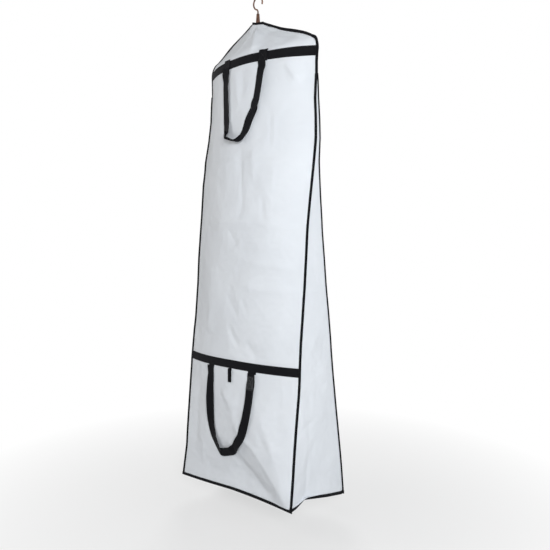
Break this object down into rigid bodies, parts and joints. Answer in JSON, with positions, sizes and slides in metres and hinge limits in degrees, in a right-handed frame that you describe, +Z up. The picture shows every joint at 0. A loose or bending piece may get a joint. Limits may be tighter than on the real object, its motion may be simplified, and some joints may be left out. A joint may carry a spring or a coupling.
{
  "type": "garment bag",
  "caption": "Tall hanging garment bag of pale fabric with black bindings, side gussets, webbing handles on the front, a zip down the back and a hanger hook.",
  "frame": {"origin": "middle of the hanger hook's mouth, where the rail lies", "axes": "+X across the bag to the right of someone who faces its front, -Y out of the front panel, +Z up"},
  "size_m": [0.616, 0.3296, 1.898],
  "materials": {
    "panel_fabric": "white-grey non-woven fabric",
    "binding_tape": "black woven tape",
    "webbing": "black ribbed webbing",
    "zip_tape": "black woven zip tape",
    "zip_coil": "black nylon coil",
    "zip_metal": "black enamelled metal",
    "hanger_wood": "reddish-brown varnished wood",
    "hook_metal": "brown copper-plated wire"
  },
  "bodies": {
    "bag": {"back_binding_left": "binding_tape", "back_binding_right": "binding_tape", "back_panel_left": "panel_fabric", "back_panel_right": "panel_fabric", "bottom_panel": "panel_fabric", "foot_binding_back": "binding_tape", "foot_binding_front": "binding_tape", "foot_binding_left": "binding_tape", "foot_binding_right": "binding_tape", "front_binding_left": "binding_tape", "front_binding_right": "binding_tape", "front_panel": "panel_fabric", "gusset_left": "panel_fabric", "gusset_right": "panel_fabric", "hanger": "hanger_wood", "hook_collar": "hook_metal", "hook_loop_end": "webbing", "lower_band": "webbing", "lower_handle_end_left": "webbing", "lower_handle_end_right": "webbing", "neck_binding": "binding_tape", "shoulder_binding_left": "binding_tape", "shoulder_binding_right": "binding_tape", "upper_band": "webbing", "upper_handle_end_left": "webbing", "upper_handle_end_right": "webbing", "zip_bottom_stop": "zip_metal", "zip_tape_left": "zip_tape", "zip_tape_right": "zip_tape", "zip_teeth_left": "zip_coil", "zip_teeth_right": "zip_coil", "zip_top_stops": "zip_metal"},
    "upper_handle": {"upper_handle_strap": "webbing", "upper_handle_lap": "webbing"},
    "lower_handle": {"lower_handle_strap": "webbing", "lower_handle_lap": "webbing"},
    "hook_loop": {"hook_loop": "webbing"},
    "zip_slider": {"zip_slider": "zip_metal"},
    "zip_pull": {"zip_pull": "zip_metal"},
    "hanger_hook": {"hanger_hook": "hook_metal"}
  },
  "joints": [
    {"name": "upper_handle_swing", "type": "hinge", "parent": "bag", "child": "upper_handle", "pos_m": [-0.062, -0.09557, -0.249], "axis": [-0.9997, -0.024, 0], "range_deg": [0, 170]},
    {"name": "lower_handle_swing", "type": "hinge", "parent": "bag", "child": "lower_handle", "pos_m": [-0.106, -0.1494, -1.401], "axis": [-0.9999, 0.0103, 0], "range_deg": [0, 170]},
    {"name": "hook_loop_swing", "type": "hinge", "parent": "bag", "child": "hook_loop", "pos_m": [-0.002, -0.1581, -1.3987], "axis": [-1, 0, 0], "range_deg": [0, 170]},
    {"name": "zip_run", "type": "slide", "parent": "bag", "child": "zip_slider", "axis": [0, 0.0781, -0.9969], "range_m": [0, 1.6939]},
    {"name": "zip_pull_swing", "type": "hinge", "parent": "zip_slider", "child": "zip_pull", "pos_m": [0, 0.01913, -0.11612], "axis": [1, 0, 0], "range_deg": [0, 170]},
    {"name": "hook_swivel", "type": "hinge", "parent": "bag", "child": "hanger_hook", "pos_m": [0, 0, -0.1], "axis": [0, 0, 1], "continuous": true}
  ]
}
